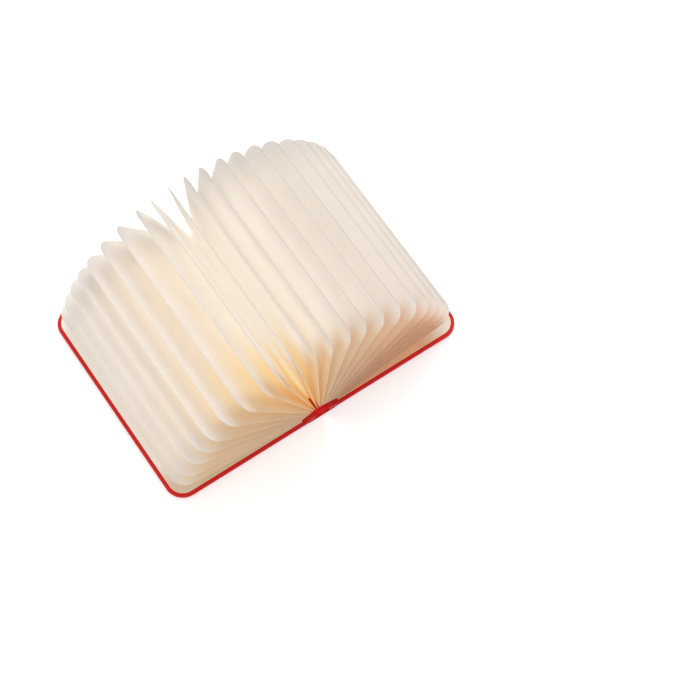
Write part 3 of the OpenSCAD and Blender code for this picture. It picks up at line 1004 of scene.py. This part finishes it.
class BOOKLAMP_OT_folds(bpy.types.Operator):
    """Build the folded sheets that join the pages' roots"""

    bl_idname = "booklamp.folds"
    bl_label = "Folds between the pages"

    def execute(self, context):
        p = context.scene.booklamp_paper
        mat = lit_paper(p.colour)
        for side in (-1, 1):
            made = [build_fold(side, step, p, mat) for step in range(MIDDLE)]
            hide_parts(side_name(side) + "_folds")
        return {"FINISHED"}


# Covers and spine


def build_cover(side, case):
    """A cloth-covered board with soft edges and the cloth turned in over its rim."""
    name = side_name(side)
    x0, x1 = COVER[0].x, COVER[1].x
    y1, z0, z1 = COVER[1].y, COVER[0].z, COVER[1].z
    lo, hi = (x0, x1) if side > 0 else (-x1, -x0)
    obj = plate(name + "_cover_cloth", lo, hi, -y1, y1, z0, z1)
    fore = side * x1
    pick_edges(obj, lambda a, b: abs(a.x - fore) < SAME and abs(b.x - fore) < SAME
               and abs(a.z - b.z) > SAME)
    bpy.ops.mesh.bevel(offset=case.corner, segments=10, affect="EDGES")
    pick_faces(obj, lambda c, nrm: nrm.z > 0.9)
    bpy.ops.mesh.inset(thickness=case.margin, use_boundary=True)
    bpy.ops.transform.translate(value=(0, 0, -LINING_BED))
    pick_edges(obj, lambda a, b: abs(a.z - b.z) < SAME
               and (abs(a.z - z0) < SAME or abs(a.z - z1) < SAME))
    bpy.ops.mesh.bevel(offset=case.edge, segments=3, affect="EDGES")
    bpy.ops.object.mode_set(mode="OBJECT")
    outward(obj)
    smooth(obj, 40)
    dress(obj, red_cloth())
    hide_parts(name + "_cloth")
    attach(obj, name + "_cover")


class BOOKLAMP_OT_covers(bpy.types.Operator):
    """Build the cloth-covered covers and finish their boards and linings"""

    bl_idname = "booklamp.covers"
    bl_label = "Covers"

    def execute(self, context):
        case = context.scene.booklamp_case
        lining = lining_material(context.scene.booklamp_paper)
        for side in (-1, 1):
            build_cover(side, case)
            name = side_name(side)
            dress_node(name + "_pastedown", lining)
            dress_node(name + "_board", board_material())
        return {"FINISHED"}


def build_hinge_cloth(side):
    """The cloth that crosses from the spine to a cover, with a soft rise in it."""
    name = side_name(side)
    points, uvs, faces = [], [], []
    n = len(HINGE_CLOTH)
    for r in range(HINGE_CLOTH_ROWS):
        y = HINGE_CLOTH_HALF * (-1 + 2 * r / (HINGE_CLOTH_ROWS - 1))
        for x, z in HINGE_CLOTH:
            points.append(Vector((side * x * MM, y, z * MM)))
            uvs.append((x * MM, y))
    for r in range(HINGE_CLOTH_ROWS - 1):
        for i in range(n):
            a, b = r * n + i, r * n + (i + 1) % n
            faces.append((a, b, b + n, a + n))
    faces.append(tuple(range(n)))
    faces.append(tuple(range(len(points) - n, len(points))))
    obj = mesh_piece(name + "_hinge_cloth", points, faces, uvs)
    outward(obj)
    smooth(obj, 45)
    dress(obj, red_cloth())
    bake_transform(obj)


class BOOKLAMP_OT_spine(bpy.types.Operator):
    """Build the cloth at the fold lines and finish the spine's strip"""

    bl_idname = "booklamp.spine"
    bl_label = "Spine and fold lines"

    def execute(self, context):
        for side in (-1, 1):
            build_hinge_cloth(side)
        dress_node("spine_cloth", red_cloth())
        dress_node("spine_board", board_material())
        for node in ("spine_strip", "left_strip_flap", "right_strip_flap"):
            dress_node(node, grey_cloth())
        return {"FINISHED"}


class BOOKLAMP_OT_light(bpy.types.Operator):
    """Finish the diffuser, its caps and what they hold"""

    bl_idname = "booklamp.light"
    bl_label = "Light and electronics"

    def execute(self, context):
        light = context.scene.booklamp_light
        dress_node("diffuser", lit_material("Lit diffuser", light.warm, light.strength))
        dress_node("light_chips", lit_material("Lit chips", light.warm, 2.0, roughness=0.2))
        red = plain_material("Red plastic", (0.66, 0.013, 0.01), 0.8, grain=2200.0,
                             specular=0.1)
        for node in ("tail_cap", "head_cap"):
            dress_node(node, red)
        dress_node("light_carrier", plain_material("White plastic", (0.8, 0.8, 0.78), 0.5))
        dress_node("battery_cells", plain_material(
            "Cell foil", (0.6, 0.61, 0.63), 0.35, metallic=0.9, grain=1500.0, contrast=0.1,
            depth=0.00008))
        dress_node("light_strip", plain_material(
            "White lacquered board", (0.82, 0.82, 0.8), 0.3, coat=0.4))
        dress_node("control_board", plain_material(
            "Green lacquered board", (0.02, 0.15, 0.06), 0.3, coat=0.5, contrast=0.2))
        steel = plain_material(
            "Plated steel", (0.62, 0.62, 0.64), 0.28, metallic=1.0, grain=2600.0,
            contrast=0.08, depth=0.00002, stretch=(1.0, 0.1, 1.0))
        for node in ("charge_socket", "cap_screws", "left_magnets", "right_magnets",
                     "sensor_magnet"):
            dress_node(node, steel)
        dress_node("charge_indicator", plain_material(
            "Clear light pipe", (0.8, 0.86, 0.8), 0.15, coat=0.6))
        black = plain_material("Black plastic", (0.02, 0.02, 0.02), 0.45, contrast=0.2)
        for node in ("opening_sensor", "power_leads"):
            dress_node(node, black)
        return {"FINISHED"}


# Stage


def seen_rays(n):
    """1 for what the camera sees, also in a mirror or through glass, and 0 for the rest."""
    path = n.add("ShaderNodeLightPath")
    return n.math("MAXIMUM", path.outputs["Is Camera Ray"],
                  n.math("MAXIMUM", path.outputs["Is Glossy Ray"],
                         path.outputs["Is Transmission Ray"]))


def floor_material():
    mat, n, bsdf = start_material("Pale floor", 0.9)
    bsdf.inputs["Base Color"].default_value = (0.86, 0.86, 0.86, 1)
    bsdf.inputs["Specular IOR Level"].default_value = 0.0
    bsdf.inputs["Emission Color"].default_value = (*WHITE, 1)
    n.link(n.math("MULTIPLY", seen_rays(n), FLOOR_GLOW), bsdf.inputs["Emission Strength"])
    return mat


def build_world(scene):
    world = bpy.data.worlds.new("Studio")
    scene.world = world
    world.use_nodes = True
    tree = world.node_tree
    for node in list(tree.nodes):
        tree.nodes.remove(node)
    n = Nodes(tree)
    out = n.add("ShaderNodeOutputWorld")
    back = n.add("ShaderNodeBackground")
    strength = n.math("MULTIPLY_ADD", seen_rays(n), SEEN_SKY - SKY, SKY)
    n.link(strength, back.inputs["Strength"])
    back.inputs["Color"].default_value = (*WHITE, 1)
    n.link(back.outputs[0], out.inputs[0])


def add_lamp(name, at, size, power):
    clear_selection()
    bpy.ops.object.light_add(type="AREA", location=at)
    lamp = bpy.context.object
    lamp.name = name
    lamp.data.shape = "DISK"
    lamp.data.size = size
    lamp.data.energy = power
    aim = Vector(LAMP_TARGET) - Vector(at)
    lamp.rotation_euler = aim.to_track_quat("-Z", "Y").to_euler()


class BOOKLAMP_OT_stage(bpy.types.Operator):
    """Set the floor, the soft light and the camera"""

    bl_idname = "booklamp.stage"
    bl_label = "Stage"

    def execute(self, context):
        scene = context.scene
        clear_selection()
        bpy.ops.mesh.primitive_plane_add(size=FLOOR_SIZE, location=(0, 0, FLOOR_Z))
        floor = context.object
        floor.name = "floor"
        dress(floor, floor_material())
        build_world(scene)
        for lamp in LAMPS:
            add_lamp(*lamp)
        data = bpy.data.cameras.new("camera")
        camera = bpy.data.objects.new("camera", data)
        scene.collection.objects.link(camera)
        data.lens = CAMERA_LENS
        data.sensor_width = 36.0
        data.clip_start = 0.05
        data.clip_end = 30.0
        camera.matrix_world = Matrix(CAMERA_PLACE)
        scene.camera = camera
        scene.view_settings.view_transform = "Standard"
        return {"FINISHED"}


class BOOKLAMP_PT_panel(bpy.types.Panel):
    """Lists the lamp's pieces"""

    bl_idname = "BOOKLAMP_PT_panel"
    bl_label = "Book lamp"
    bl_space_type = "VIEW_3D"
    bl_region_type = "UI"
    bl_category = "Book lamp"

    def draw(self, context):
        scene = context.scene
        for group in (scene.booklamp_paper, scene.booklamp_case, scene.booklamp_light):
            box = self.layout.box()
            for key in group.__annotations__:
                box.prop(group, key)
        for step in STEPS:
            self.layout.operator(step.bl_idname)


STEPS = (
    BOOKLAMP_OT_stage,
    BOOKLAMP_OT_covers,
    BOOKLAMP_OT_spine,
    BOOKLAMP_OT_light,
    BOOKLAMP_OT_pages,
    BOOKLAMP_OT_folds,
)
GROUPS = (
    ("booklamp_paper", BookLampPaper),
    ("booklamp_case", BookLampCase),
    ("booklamp_light", BookLampLight),
)


def register():
    for name, group in GROUPS:
        bpy.utils.register_class(group)
        setattr(bpy.types.Scene, name, bpy.props.PointerProperty(type=group))
    for step in STEPS:
        bpy.utils.register_class(step)
    bpy.utils.register_class(BOOKLAMP_PT_panel)


def unregister():
    bpy.utils.unregister_class(BOOKLAMP_PT_panel)
    for step in reversed(STEPS):
        bpy.utils.unregister_class(step)
    for name, group in reversed(GROUPS):
        delattr(bpy.types.Scene, name)
        bpy.utils.unregister_class(group)


def main():
    register()
    bpy.ops.booklamp.stage()
    bpy.ops.booklamp.covers()
    bpy.ops.booklamp.spine()
    bpy.ops.booklamp.light()
    bpy.ops.booklamp.pages()
    bpy.ops.booklamp.folds()


if __name__ == "__main__":
    main()
